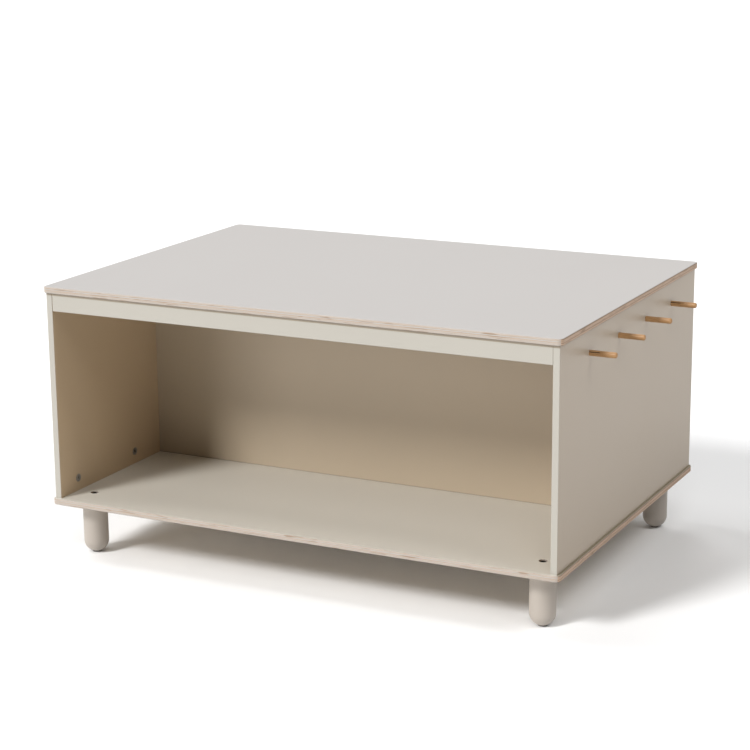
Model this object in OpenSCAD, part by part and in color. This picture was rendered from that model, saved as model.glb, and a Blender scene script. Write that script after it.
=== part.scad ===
// Kids' play table with open storage: two thin plywood boards with laminate faces, a painted
// carcass of 12 mm panels between them, four round legs and four hanging pegs.
// Millimetres. +Z is up, the floor is Z = 0, X runs left to right, -Y is the front.

/* [Boards] */
// Length of the top and floor boards, left to right
board_w = 1000; // [880:10:1200]
// Depth of the top and floor boards, front to back
board_d = 700; // [660:10:800]
// Thickness of each board with its laminates
board_t = 12; // [12:1:18]
// Thickness of the laminate on each face of a board
laminate_t = 0.8; // [0.5:0.1:1.2]
// Radius of the boards' corners, seen from above
corner_r = 10; // [5:1:30]
// Radius of the rounded arris round the boards
board_arris_r = 2; // [1.5:0.25:3]

/* [Carcass] */
// How far the boards stand out past the carcass all round
overhang = 5; // [2:1:12]
// Thickness of the side panels, the divider and the rails
panel_t = 12; // [12:1:18]
// Height of the side panels and the divider
panel_h = 386; // [320:2:460]
// Radius of the eased edges of the panels and rails
panel_arris_r = 1; // [0.5:0.25:2]
// Height of the front and rear rails
rail_h = 33; // [30:1:60]
// Gap at the left end of a rail, which is cut short so that it never holds the side panels apart
rail_gap = 0.6; // [0.2:0.1:1]

/* [Legs] */
// Diameter of a leg
leg_d = 46; // [40:1:60]
// Height of a leg
leg_h = 100; // [60:5:160]
// Distance from the end of the floor board to a leg's axis
leg_inset_x = 52; // [46:1:90]
// Distance from the front or rear edge of the floor board to a leg's axis
leg_inset_y = 62; // [50:1:90]
// Radius of the eased edge round the top of a leg
leg_arris_r = 1; // [0.5:0.25:2]
// Diameter of the glide under a leg, and of the flat it sits on
glide_d = 16; // [12:1:24]
// Thickness of a glide
glide_t = 2; // [1.5:0.25:4]
// Radius of the rounded rim of a glide
glide_rim_r = 0.8; // [0.4:0.1:1.2]
// Diameter of the pin that holds a glide in its leg
glide_pin_d = 4; // [3:0.5:6]
// Length of the pin that holds a glide in its leg
glide_pin_l = 12; // [8:1:20]

/* [Leg bolts] */
// Diameter of a leg bolt
leg_bolt_d = 8; // [6:1:8]
// Length of a leg bolt under its head
leg_bolt_l = 24; // [20:1:30]
// Diameter of a leg bolt's button head
leg_bolt_head_d = 14; // [12:0.5:16]
// Diameter of the flat on top of that head
leg_bolt_crown_d = 8; // [7:0.25:9]
// Height of a leg bolt's button head
leg_bolt_head_h = 4.4; // [3.5:0.1:4.5]
// Width across the flats of a leg bolt's hexagon socket
leg_bolt_socket = 5; // [4:0.5:5]
// Depth of a leg bolt's hexagon socket
leg_bolt_socket_depth = 2.6; // [2:0.1:3]
// How far the floor board is counterbored for a leg bolt's head
counterbore_depth = 5; // [4.5:0.25:6]
// Outer diameter of the threaded insert in a leg
insert_d = 12; // [11:0.5:14]
// Length of the threaded insert in a leg
insert_l = 18; // [14:1:24]

/* [Pegs] */
// Diameter of a peg
peg_d = 10; // [9:0.5:12]
// How far a peg stands out of the side panel
peg_proud = 48; // [36:1:70]
// Distance from the top of the side panel down to a peg's axis
peg_drop = 41; // [40:1:80]
// Spacing of the pegs
peg_pitch = 140; // [120:2:150]
// Radius of the rounded tip of a peg
peg_tip_r = 3.5; // [2:0.25:4]
// Width of the saw kerf that makes the root of a peg springy
kerf_w = 1.5; // [0.8:0.1:2]
// How much the kerf lets the root of a peg close in its hole, on the radius
peg_squeeze = 0.1; // [0.05:0.05:0.2]
// Length outside the side panel over which a peg opens back to its full diameter
peg_flare_l = 1; // [0.8:0.1:3]
// How far the kerf runs out past the side panel
kerf_proud = 20; // [8:1:30]

/* [Cam fittings] */
// Diameter of a cam
cam_d = 15; // [14:0.5:16]
// How much deeper a cam is than the axis of its bolt, which is the middle of the panel
cam_reach = 3.5; // [3.2:0.1:4]
// Radius of the off-centre chamber in a cam
chamber_r = 4.4; // [4.2:0.1:4.6]
// Width of the crossed driver slots in a cam's face
driver_w = 1.3; // [1:0.1:1.6]
// Length of those slots
driver_l = 7; // [6:0.5:9]
// Depth of those slots
driver_depth = 2; // [1.5:0.25:2.5]
// Distance from the joint to a cam's axis
cam_backset = 24; // [20:1:30]
// Spacing of the cams along a side panel
side_cam_pitch = 192; // [168:8:192]
// Spacing of the cams and dowels along the divider
divider_pitch = 160; // [120:8:180]
// Distance from the top of a rail down to its cam bolt
rail_cam_drop = 11; // [9:0.5:14]
// Diameter of the round head of a cam bolt
ball_d = 5.4; // [4.8:0.1:6]
// Diameter of the neck of a cam bolt
neck_d = 3.4; // [3:0.1:4]
// Diameter of the shaft of a cam bolt
shaft_d = 6; // [5:0.1:6.4]
// Diameter of the collar that seats a cam bolt on its board
collar_d = 6.8; // [6.5:0.1:6.9]
// Thickness of that collar
collar_t = 1; // [0.6:0.1:1.5]
// Diameter of the threaded end of a cam bolt
thread_d = 5; // [4:0.5:6]
// Length of the threaded end of a cam bolt
thread_l = 9; // [7:0.5:10]
// Diameter of the bore for a cam bolt in the edge of a panel
edge_bore_d = 7; // [7:0.1:8]

/* [Dowels] */
// Diameter of a dowel
dowel_d = 6; // [5:0.5:8]
// Length of a dowel
dowel_l = 28; // [24:1:32]
// How far a dowel goes into the board or the side panel it meets
dowel_in_face = 9; // [7:0.5:10]
// Chamfer on both ends of a dowel
dowel_chamfer = 0.8; // [0.4:0.1:1.2]
// Distance from the boards to the dowels in the ends of the divider
divider_dowel_inset = 110; // [70:5:130]
// Distance from the bottom of a rail up to its dowel
rail_dowel_rise = 7.5; // [6.5:0.25:9]

/* [Clearances] */
// Radial clearance round the cams, bolts and inserts
slide_fit = 0.1; // [0.05:0.05:0.25]
// Radial clearance round the leg bolts where they pass the floor board
bolt_pass_fit = 0.25; // [0.1:0.05:0.5]
// Radial clearance round the leg bolts' heads in their counterbores
head_fit = 0.5; // [0.3:0.1:0.8]
// Radial clearance round the dowels and pegs, which are a tight fit
tight_fit = 0; // [0:0.05:0.1]
// Spare depth past the end of a dowel, pin or threaded end
blind_slack = 0.5; // [0.3:0.1:1]

/* [Hidden] */

$fn = 64;
eps = 0.5; // how far a cutter runs past the face it opens

// Levels
leg_z = glide_t;
floor_z = leg_z + leg_h;         // underside of the floor board
carcass_z = floor_z + board_t;   // top of the floor board
top_z = carcass_z + panel_h;     // underside of the top board

// Plan sizes of the carcass
carcass_w = board_w - 2 * overhang;
carcass_d = board_d - 2 * overhang;
inner_x = carcass_w / 2 - panel_t;         // inner face of a side panel
side_x = carcass_w / 2 - panel_t / 2;      // middle of a side panel
rail_y = carcass_d / 2 - panel_t / 2;      // middle of a rail
leg_x = board_w / 2 - leg_inset_x;
leg_y = board_d / 2 - leg_inset_y;

// The pegs stand out past the right end of the boards. The frame's origin is under the middle
// of the whole object, so the table's own centre lies this far to the left of it.
table_x = -(peg_proud - overhang) / 2;

leg_bore_l = max(insert_l, leg_bolt_l - board_t + counterbore_depth) + blind_slack;
insert_bore_r = insert_d / 2 + tight_fit;

// Each peg was pushed in with its kerf turned another way, in degrees from the front, upwards
peg_turns = [32, 105, 110, 36];
peg_count = len(peg_turns);
peg_root_r = peg_d / 2 - peg_squeeze;

function peg_y(i) = (i - (peg_count - 1) / 2) * peg_pitch;

// A cam's chamber is off centre, so that its wall draws the bolt in as the cam turns. The bolt
// comes from a cam's own -Y. The open position lies a third of a turn back from there.
cam_h = panel_t / 2 + cam_reach;
chamber_shift = chamber_r - ball_d / 2 - slide_fit;
chamber_z = panel_t / 2 - ball_d / 2 - slide_fit;
neck_slot = neck_d + 2 * slide_fit;
mouth = ball_d + 2 * slide_fit;
cam_closed = 270;
cam_open = 150;

PLY = [0.80, 0.68, 0.52];
LAMINATE = [0.83, 0.82, 0.80];
FLOOR_LAMINATE = [0.76, 0.73, 0.67];
PAINT = [0.80, 0.78, 0.73];
PEG_WOOD = [0.80, 0.60, 0.38];
BEECH = [0.82, 0.68, 0.50];
ZINC = [0.62, 0.62, 0.62];
BLACK_STEEL = [0.10, 0.10, 0.10];
NYLON = [0.30, 0.28, 0.26];

// ---- Where the fittings go ---------------------------------------------------------------
// A joint is [place, turn]. Its place is on the face that the edge of a panel meets, its own
// +Z runs into that edge, and its +Y points out of the face where the cam shows.

function vertical_joint(x, y, top, facing) =
    [[x, y, top ? top_z : carcass_z], [0, top ? 180 : 0, facing]];

function side_joints(s, rows) =
    [for (top = [false, true]) for (k = rows)
        vertical_joint(s * side_x, k * side_cam_pitch, top, s * 90)];
function divider_joints(rows) =
    [for (top = [false, true]) for (k = rows)
        vertical_joint(k * divider_pitch, 0, top, 0)];
// r is -1 at the front and 1 at the rear, s is -1 at the left and 1 at the right
function rail_joint(r, s, z) =
    [[s * inner_x, r * rail_y, z], [0, r * s * 90, r > 0 ? 180 : 0]];
function divider_end_joint(s, z) = [[s * inner_x, 0, z], [0, -s * 90, 0]];

// Steps of a row of fittings, counted from its middle
function row(count) = [for (i = [0:count - 1]) i - (count - 1) / 2];

SIDES = [-1, 1];
CAM_ROWS = row(4);
DOWEL_ROWS = row(3);
DIVIDER_CAM_ROWS = [for (s = SIDES) 2 * s];
RAIL_CAM_Z = top_z - rail_cam_drop;
RAIL_DOWEL_Z = top_z - rail_h + rail_dowel_rise;
DIVIDER_DOWEL_Z = [carcass_z + divider_dowel_inset, top_z - divider_dowel_inset];

function side_cam_joints(s) = side_joints(s, CAM_ROWS);
function side_dowel_joints(s) = side_joints(s, DOWEL_ROWS);
function rail_cam_joints(r) = [for (s = SIDES) rail_joint(r, s, RAIL_CAM_Z)];
function rail_dowel_joints(r) = [for (s = SIDES) rail_joint(r, s, RAIL_DOWEL_Z)];
function divider_end_joints(s) = [for (z = DIVIDER_DOWEL_Z) divider_end_joint(s, z)];
function on_side(joints, s) = [for (j = joints) if (j[0][0] * s > 0) j];

ALL_CAM_JOINTS = concat(side_cam_joints(-1), side_cam_joints(1), divider_joints(DIVIDER_CAM_ROWS));
ALL_DOWEL_JOINTS = concat(side_dowel_joints(-1), side_dowel_joints(1), divider_joints(DOWEL_ROWS));

module at_joints(joints)
    for (j = joints) translate(j[0]) rotate(j[1]) children();

module on_table() translate([table_x, 0, 0]) children();

module at_legs()
    for (sx = SIDES) for (sy = SIDES) translate([sx * leg_x, sy * leg_y, 0]) children();

// ---- Holes, in a joint's own frame ----------------------------------------------------------

module thread_hole()
    translate([0, 0, -thread_l - blind_slack])
        cylinder(r = thread_d / 2 + tight_fit, h = thread_l + blind_slack + eps);

module dowel_face_hole()
    translate([0, 0, -dowel_in_face - blind_slack])
        cylinder(r = dowel_d / 2 + tight_fit, h = dowel_in_face + blind_slack + eps);

module dowel_edge_hole()
    translate([0, 0, -eps])
        cylinder(r = dowel_d / 2 + tight_fit, h = dowel_l - dowel_in_face + blind_slack + eps);

module cam_holes() {
    translate([0, 0, -eps]) cylinder(d = edge_bore_d, h = cam_backset + eps);
    translate([0, panel_t / 2 + eps, cam_backset])
        rotate([90, 0, 0]) cylinder(r = cam_d / 2 + slide_fit, h = cam_h + eps);
}

// ---- Cam fitting ------------------------------------------------------------------------------

// A cam bolt, seated on the board by its collar, with its round head at the cam's axis
module cam_bolt()
    rotate_extrude() {
        translate([0, -thread_l]) square([thread_d / 2, thread_l]);
        square([collar_d / 2, collar_t]);
        square([shaft_d / 2, cam_backset - chamber_r - slide_fit - shaft_d / 2]);
        square([neck_d / 2, cam_backset]);
        intersection() {
            translate([0, cam_backset]) circle(d = ball_d);
            translate([0, cam_backset - ball_d / 2]) square([ball_d, ball_d]);
        }
    }

// The cam lies in its bore with its slotted face flush with the panel. The neck of the bolt
// passes the slot in its rim, and the eccentric wall of its chamber holds the head.
module cam()
    translate([0, panel_t / 2, cam_backset]) rotate([90, 0, 0]) difference() {
        cylinder(d = cam_d, h = cam_h);
        // chamber for the head, open at the back of the cam
        translate([0, chamber_shift, chamber_z]) cylinder(r = chamber_r, h = cam_h);
        // slot for the neck, round from the mouth to the closed position
        translate([0, 0, panel_t / 2 - neck_slot / 2]) {
            rotate_extrude(angle = cam_closed - cam_open, start = cam_open)
                square([cam_d, neck_slot]);
            rotate([0, 0, cam_closed]) translate([0, -neck_slot / 2, 0])
                cube([cam_d, neck_slot, neck_slot]);
        }
        // mouth that the head comes in by when the cam is open
        rotate([0, 0, cam_open]) translate([0, -mouth / 2, chamber_z])
            cube([cam_d, mouth, cam_h]);
        // crossed slots for the screwdriver
        for (a = [45, 135]) rotate([0, 0, a])
            translate([-driver_l / 2, -driver_w / 2, -eps])
                cube([driver_l, driver_w, driver_depth + eps]);
    }

module dowel() {
    straight = dowel_l - 2 * dowel_chamfer;
    translate([0, 0, -dowel_in_face]) rotate_extrude() polygon([
        [0, 0], [dowel_d / 2 - dowel_chamfer, 0], [dowel_d / 2, dowel_chamfer],
        [dowel_d / 2, dowel_chamfer + straight], [dowel_d / 2 - dowel_chamfer, dowel_l],
        [0, dowel_l]
    ]);
}

// ---- Boards ---------------------------------------------------------------------------------

// Section of the outermost corner_r of a board, between two heights in its thickness
module board_edge_section(low, high) intersection() {
    difference() {
        square([corner_r, board_t]);
        for (top = [0, 1]) translate([0, top * board_t]) mirror([0, top])
            translate([corner_r - board_arris_r, 0]) difference() {
                square([board_arris_r, board_arris_r]);
                translate([0, board_arris_r]) circle(r = board_arris_r);
            }
    }
    translate([0, low]) square([corner_r, high - low]);
}

// One layer of a board: a middle, four straight edges and four round corners
module board_layer(low, high) {
    half = [board_w / 2 - corner_r, board_d / 2 - corner_r];
    translate([-half[0], -half[1], low]) cube([2 * half[0], 2 * half[1], high - low]);
    for (i = [0:3]) rotate([0, 0, 90 * i]) {
        out = half[i % 2];
        along = half[(i + 1) % 2];
        translate([out, along, 0]) rotate([90, 0, 0])
            linear_extrude(2 * along) board_edge_section(low, high);
        translate([out, along, 0]) rotate_extrude(angle = 90) board_edge_section(low, high);
    }
}

module top_board_layer(low, high)
    on_table() difference() {
        translate([0, 0, top_z]) board_layer(low, high);
        at_joints(ALL_CAM_JOINTS) thread_hole();
        at_joints(ALL_DOWEL_JOINTS) dowel_face_hole();
    }

module leg_bolt_hole() {
    translate([0, 0, floor_z - eps])
        cylinder(r = leg_bolt_d / 2 + bolt_pass_fit, h = board_t + 2 * eps);
    translate([0, 0, carcass_z - counterbore_depth])
        cylinder(r = leg_bolt_head_d / 2 + head_fit, h = counterbore_depth + eps);
}

module floor_board_layer(low, high)
    on_table() difference() {
        translate([0, 0, floor_z]) board_layer(low, high);
        at_joints(ALL_CAM_JOINTS) thread_hole();
        at_joints(ALL_DOWEL_JOINTS) dowel_face_hole();
        at_legs() leg_bolt_hole();
    }

module top_plate() color(PLY) top_board_layer(laminate_t, board_t - laminate_t);
module top_laminate() color(LAMINATE) top_board_layer(board_t - laminate_t, board_t);
module top_backing_laminate() color(FLOOR_LAMINATE) top_board_layer(0, laminate_t);
module floor_plate() color(PLY) floor_board_layer(laminate_t, board_t - laminate_t);
module floor_laminate() color(FLOOR_LAMINATE) floor_board_layer(board_t - laminate_t, board_t);
module floor_backing_laminate() color(FLOOR_LAMINATE) floor_board_layer(0, laminate_t);

// ---- Carcass --------------------------------------------------------------------------------

// A rectangle centred on the origin with its four corners eased
module eased_rectangle(w, h, r) difference() {
    square([w, h], center = true);
    for (sx = [0, 1]) for (sy = [0, 1]) mirror([sx, 0]) mirror([0, sy])
        translate([w / 2 - r, h / 2 - r]) difference() {
            square([r, r]);
            circle(r = r);
        }
}

module peg_hole(i)
    translate([inner_x - eps, peg_y(i), top_z - peg_drop]) rotate([0, 90, 0])
        cylinder(r = peg_root_r + tight_fit, h = panel_t + 2 * eps);

module side_panel(s)
    on_table() difference() {
        translate([s * side_x, 0, carcass_z])
            linear_extrude(panel_h) eased_rectangle(panel_t, carcass_d, panel_arris_r);
        at_joints(side_cam_joints(s)) cam_holes();
        at_joints(side_dowel_joints(s)) dowel_edge_hole();
        at_joints(divider_end_joints(s)) dowel_face_hole();
        for (r = SIDES) {
            at_joints(on_side(rail_cam_joints(r), s)) thread_hole();
            at_joints(on_side(rail_dowel_joints(r), s)) dowel_face_hole();
        }
        if (s > 0) for (i = [0:peg_count - 1]) peg_hole(i);
    }

module left_side_panel() color(PAINT) side_panel(-1);
module right_side_panel() color(PAINT) side_panel(1);

module divider()
    color(PAINT) on_table() difference() {
        translate([-inner_x, -panel_t / 2, carcass_z]) cube([2 * inner_x, panel_t, panel_h]);
        at_joints(divider_joints(DIVIDER_CAM_ROWS)) cam_holes();
        at_joints(divider_joints(DOWEL_ROWS)) dowel_edge_hole();
        for (s = SIDES) at_joints(divider_end_joints(s)) dowel_edge_hole();
    }

module rail(r) {
    rail_w = 2 * inner_x - rail_gap;
    on_table() difference() {
        translate([rail_gap / 2, r * rail_y, top_z - rail_h / 2]) intersection() {
            translate([-rail_w / 2, 0, 0]) rotate([90, 0, 90])
                linear_extrude(rail_w) eased_rectangle(panel_t, rail_h, panel_arris_r);
            translate([0, 0, -rail_h / 2])
                linear_extrude(rail_h) eased_rectangle(rail_w, panel_t, panel_arris_r);
        }
        at_joints(rail_cam_joints(r)) cam_holes();
        at_joints(rail_dowel_joints(r)) dowel_edge_hole();
    }
}

module front_rail() color(PAINT) rail(-1);
module rear_rail() color(PAINT) rail(1);

// ---- Legs -----------------------------------------------------------------------------------

// A turned leg: straight, with a round end cut flat where the glide sits
module leg(sx, sy) {
    r = leg_d / 2;
    flat_r = glide_d / 2;
    end_z = sqrt(r * r - flat_r * flat_r); // from the middle of the round end to its flat
    color(PAINT) on_table() translate([sx * leg_x, sy * leg_y, leg_z]) difference() {
        rotate_extrude() {
            intersection() {
                translate([0, end_z]) circle(r = r, $fn = 96);
                square([r, end_z]);
            }
            translate([0, end_z]) square([r, leg_h - end_z - leg_arris_r]);
            translate([0, leg_h - leg_arris_r]) square([r - leg_arris_r, leg_arris_r]);
            translate([r - leg_arris_r, leg_h - leg_arris_r]) intersection() {
                circle(r = leg_arris_r);
                square([leg_arris_r, leg_arris_r]);
            }
        }
        translate([0, 0, leg_h - leg_bore_l]) cylinder(r = insert_bore_r, h = leg_bore_l + eps);
        translate([0, 0, -eps])
            cylinder(r = glide_pin_d / 2 + tight_fit, h = glide_pin_l + blind_slack + eps);
    }
}

module leg_front_left() leg(-1, -1);
module leg_front_right() leg(1, -1);
module leg_rear_left() leg(-1, 1);
module leg_rear_right() leg(1, 1);

module glide(sx, sy)
    color(NYLON) on_table() translate([sx * leg_x, sy * leg_y, 0]) rotate_extrude() {
        translate([0, glide_rim_r]) square([glide_d / 2, glide_t - glide_rim_r]);
        square([glide_d / 2 - glide_rim_r, glide_rim_r]);
        translate([glide_d / 2 - glide_rim_r, glide_rim_r]) intersection() {
            circle(r = glide_rim_r);
            translate([0, -glide_rim_r]) square([glide_rim_r, glide_rim_r]);
        }
        translate([0, glide_t]) square([glide_pin_d / 2, glide_pin_l]);
    }

module glide_front_left() glide(-1, -1);
module glide_front_right() glide(1, -1);
module glide_rear_left() glide(-1, 1);
module glide_rear_right() glide(1, 1);

// Half section of a button head: a dome that starts at the rim and ends at the crown
module button_head() {
    rim_r = leg_bolt_head_d / 2;
    crown_r = leg_bolt_crown_d / 2;
    h = leg_bolt_head_h;
    dome_z = (crown_r * crown_r + h * h - rim_r * rim_r) / (2 * h);
    intersection() {
        translate([0, dome_z]) circle(r = sqrt(rim_r * rim_r + dome_z * dome_z));
        square([rim_r, h]);
    }
}

// Button-head bolts, whose heads lie just under the top of the floor board
module leg_bolts()
    color(BLACK_STEEL) on_table() at_legs()
        translate([0, 0, carcass_z - counterbore_depth]) difference() {
            union() {
                translate([0, 0, -leg_bolt_l]) cylinder(d = leg_bolt_d, h = leg_bolt_l);
                rotate_extrude() button_head();
            }
            translate([0, 0, leg_bolt_head_h - leg_bolt_socket_depth])
                cylinder(d = leg_bolt_socket / cos(30), h = leg_bolt_socket_depth + eps, $fn = 6);
        }

module leg_inserts()
    color(ZINC) on_table() at_legs() translate([0, 0, floor_z - insert_l]) difference() {
        cylinder(d = insert_d, h = insert_l);
        translate([0, 0, -eps]) cylinder(r = leg_bolt_d / 2 + tight_fit, h = insert_l + 2 * eps);
    }

// ---- Pegs -----------------------------------------------------------------------------------

module peg(i) {
    r = peg_d / 2;
    body = panel_t + peg_proud - peg_tip_r; // from the root to where the tip starts to round
    color(PEG_WOOD) on_table() translate([inner_x, peg_y(i), top_z - peg_drop])
        rotate([0, 90, 0]) difference() {
            rotate_extrude() {
                polygon([
                    [0, 0], [peg_root_r, 0], [peg_root_r, panel_t], [r, panel_t + peg_flare_l],
                    [r, body], [r - peg_tip_r, body], [r - peg_tip_r, body + peg_tip_r],
                    [0, body + peg_tip_r]
                ]);
                translate([r - peg_tip_r, body]) intersection() {
                    circle(r = peg_tip_r);
                    square([peg_tip_r, peg_tip_r]);
                }
            }
            rotate([0, 0, -90 - peg_turns[i]])
                translate([-peg_d, -kerf_w / 2, -eps])
                    cube([2 * peg_d, kerf_w, panel_t + kerf_proud + eps]);
        }
}

module peg_1() peg(0);
module peg_2() peg(1);
module peg_3() peg(2);
module peg_4() peg(3);

// ---- Groups of like fittings ------------------------------------------------------------------

RAIL_CAM_JOINTS = concat(rail_cam_joints(-1), rail_cam_joints(1));
RAIL_DOWEL_JOINTS = concat(rail_dowel_joints(-1), rail_dowel_joints(1));
DIVIDER_END_JOINTS = concat(divider_end_joints(-1), divider_end_joints(1));

module cams(joints) color(ZINC) on_table() at_joints(joints) cam();
module cam_bolts(joints) color(ZINC) on_table() at_joints(joints) cam_bolt();
module dowels(joints) color(BEECH) on_table() at_joints(joints) dowel();

module left_panel_cams() cams(side_cam_joints(-1));
module right_panel_cams() cams(side_cam_joints(1));
module divider_cams() cams(divider_joints(DIVIDER_CAM_ROWS));
module rail_cams() cams(RAIL_CAM_JOINTS);
module left_panel_cam_bolts() cam_bolts(side_cam_joints(-1));
module right_panel_cam_bolts() cam_bolts(side_cam_joints(1));
module divider_cam_bolts() cam_bolts(divider_joints(DIVIDER_CAM_ROWS));
module rail_cam_bolts() cam_bolts(RAIL_CAM_JOINTS);
module left_panel_dowels() dowels(side_dowel_joints(-1));
module right_panel_dowels() dowels(side_dowel_joints(1));
module divider_dowels() dowels(divider_joints(DOWEL_ROWS));
module divider_end_dowels() dowels(DIVIDER_END_JOINTS);
module rail_dowels() dowels(RAIL_DOWEL_JOINTS);

top_plate();
top_laminate();
top_backing_laminate();
floor_plate();
floor_laminate();
floor_backing_laminate();
left_side_panel();
right_side_panel();
divider();
front_rail();
rear_rail();
leg_front_left();
leg_front_right();
leg_rear_left();
leg_rear_right();
glide_front_left();
glide_front_right();
glide_rear_left();
glide_rear_right();
leg_bolts();
leg_inserts();
peg_1();
peg_2();
peg_3();
peg_4();
left_panel_cams();
right_panel_cams();
divider_cams();
rail_cams();
left_panel_cam_bolts();
right_panel_cam_bolts();
divider_cam_bolts();
rail_cam_bolts();
left_panel_dowels();
right_panel_dowels();
divider_dowels();
divider_end_dowels();
rail_dowels();
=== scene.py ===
"""Finish of a children's play table with storage, and the studio that it is photographed in.

The boards, panels, legs and pegs keep their modelled shape and get their materials here. The threaded
and fluted fittings are made here by geometry nodes, each seated where the plain solid lies.
"""

import math
from collections import namedtuple

import bmesh
import bpy
from bpy.props import FloatProperty, FloatVectorProperty, IntProperty, PointerProperty
from mathutils import Matrix, Vector


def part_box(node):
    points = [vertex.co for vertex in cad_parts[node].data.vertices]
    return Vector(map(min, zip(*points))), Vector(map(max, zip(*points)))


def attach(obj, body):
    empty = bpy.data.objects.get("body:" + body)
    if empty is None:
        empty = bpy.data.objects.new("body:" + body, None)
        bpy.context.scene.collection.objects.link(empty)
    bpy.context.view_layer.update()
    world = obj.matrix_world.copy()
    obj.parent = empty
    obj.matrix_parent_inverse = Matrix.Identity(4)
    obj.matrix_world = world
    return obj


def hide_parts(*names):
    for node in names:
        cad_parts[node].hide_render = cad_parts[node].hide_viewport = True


bl_info = {
    "name": "Play Table with Storage",
    "version": (1, 0, 0),
    "blender": (4, 5, 0),
    "location": "View3D > Sidebar > Play Table",
    "description": "Finishes a children's play table and sets up its studio",
    "category": "Object",
}

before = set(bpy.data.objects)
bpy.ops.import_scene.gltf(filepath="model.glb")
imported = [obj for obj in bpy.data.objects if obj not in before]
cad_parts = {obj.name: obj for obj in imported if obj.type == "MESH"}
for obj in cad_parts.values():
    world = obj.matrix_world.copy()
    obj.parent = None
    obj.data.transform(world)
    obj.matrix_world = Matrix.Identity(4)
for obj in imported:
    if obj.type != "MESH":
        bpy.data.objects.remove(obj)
BODY = "root"
CAM_GROUPS = ("left_panel", "right_panel", "divider", "rail")
MM = 0.001
MERGE_UNDER = 0.001 * MM
PLACE_DIGITS = 5
SMOOTH_UNDER = math.radians(32)
PORE_DEPTH = 0.03 * MM


# ---- Properties ------------------------------------------------------------------------------


def colour(name, description, default):
    """A colour that the user can change, in linear light."""
    return FloatVectorProperty(
        name=name, description=description, default=default, size=3, min=0.0, max=1.0, subtype="COLOR"
    )


def number(name, description, default, **settings):
    """A plain positive number."""
    return FloatProperty(name=name, description=description, default=default, min=0.0, **settings)


def length(name, description, default):
    """A size in metres."""
    return number(name, description, default, unit="LENGTH", precision=5)


def share(name, description, default):
    """A share from nothing to all."""
    return number(name, description, default, max=1.0, subtype="FACTOR")


def angle(name, description, degrees):
    """An angle, given in degrees."""
    return FloatProperty(
        name=name, description=description, default=math.radians(degrees), subtype="ANGLE", precision=5
    )


class BoardFinish(bpy.types.PropertyGroup):
    """Plywood cores and laminate faces of the two boards."""

    ply_count: IntProperty(name="Plies", description="Layers in a board's core", default=7, min=3, max=15)
    ply_light: colour("Light Veneer", "Lightest veneer in the core", (0.40, 0.40, 0.38))
    ply_end: colour("End Veneer", "Lightest veneer in the end faces of the core", (0.58, 0.43, 0.33))
    ply_dark: colour("Dark Veneer", "Darkest veneer in the core", (0.405, 0.27, 0.18))
    glue: colour("Glue Line", "Glue between two veneers", (0.24, 0.16, 0.10))
    glue_width: share("Glue Width", "Share of a veneer's thickness that its glue line takes", 0.10)
    top_laminate: colour("Top Laminate", "Laminate on the table top", (0.474, 0.453, 0.437))
    inner_laminate: colour("Inner Laminate", "Laminate on the compartment floor", (0.55, 0.52, 0.46))
    backing: colour("Backing Laminate", "Laminate on the underside of both boards", (0.535, 0.455, 0.36))
    laminate_rim: colour("Laminate Rim", "Cut edge of the laminate on top and floor", (0.34, 0.30, 0.26))
    # Painted shade: the floor laminate outside the right panel is darkened where the panel shades it.
    margin: colour("Margin", "Laminate of the floor outside the right panel", (0.27, 0.23, 0.155))
    backing_rim: colour("Backing Rim", "Cut edge of the backing laminates", (0.12, 0.085, 0.06))
    laminate_grain: length("Laminate Grain", "Size of the fine grain pressed in the laminate", 0.9 * MM)
    laminate_relief: length("Laminate Relief", "Depth of that grain", 0.010 * MM)
    laminate_roughness: share("Laminate Roughness", "Roughness of the laminate", 0.48)
    laminate_drift: share("Laminate Drift", "How far the laminate's tone drifts over a board", 0.012)


class PaintFinish(bpy.types.PropertyGroup):
    """Sprayed paint on the carcass and the legs."""

    outer: colour("Outer Tone", "Outside of the side panels", (0.397, 0.327, 0.252))
    edge: colour("Edge Tone", "Rails, and front and rear edges of the panels", (0.392, 0.369, 0.323))
    inner: colour("Inner Tone", "Side panels inside the compartments", (0.498, 0.378, 0.247))
    divider: colour("Divider Tone", "Divider between the compartments", (0.403, 0.326, 0.233))
    # Painted shade: a dark band on the rails and on the panels' front and rear edges, under the overhang of
    # the top, stands in for its shadow, and one along the divider's foot stands in for the shade where it
    # meets the floor.
    seam: colour("Seam Tone", "Thin line at a seam, under the top or on the floor", (0.29, 0.245, 0.185))
    leg: colour("Leg Tone", "Paint on the legs", (0.395, 0.35, 0.305))
    peel_size: length("Peel Size", "Size of the fine waves in the sprayed paint", 1.6 * MM)
    peel_relief: length("Peel Relief", "Height of those waves", 0.012 * MM)
    rail_shadow: length("Rail Seam", "Height of that line along the rails and panels, under the top", 4.2 * MM)
    foot_shadow: length("Foot Seam", "Height of that line along the foot of the divider", 1.6 * MM)
    roughness: share("Paint Roughness", "Roughness of the paint", 0.42)
    drift: share("Tone Drift", "How far the paint's tone drifts over a panel", 0.025)


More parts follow.
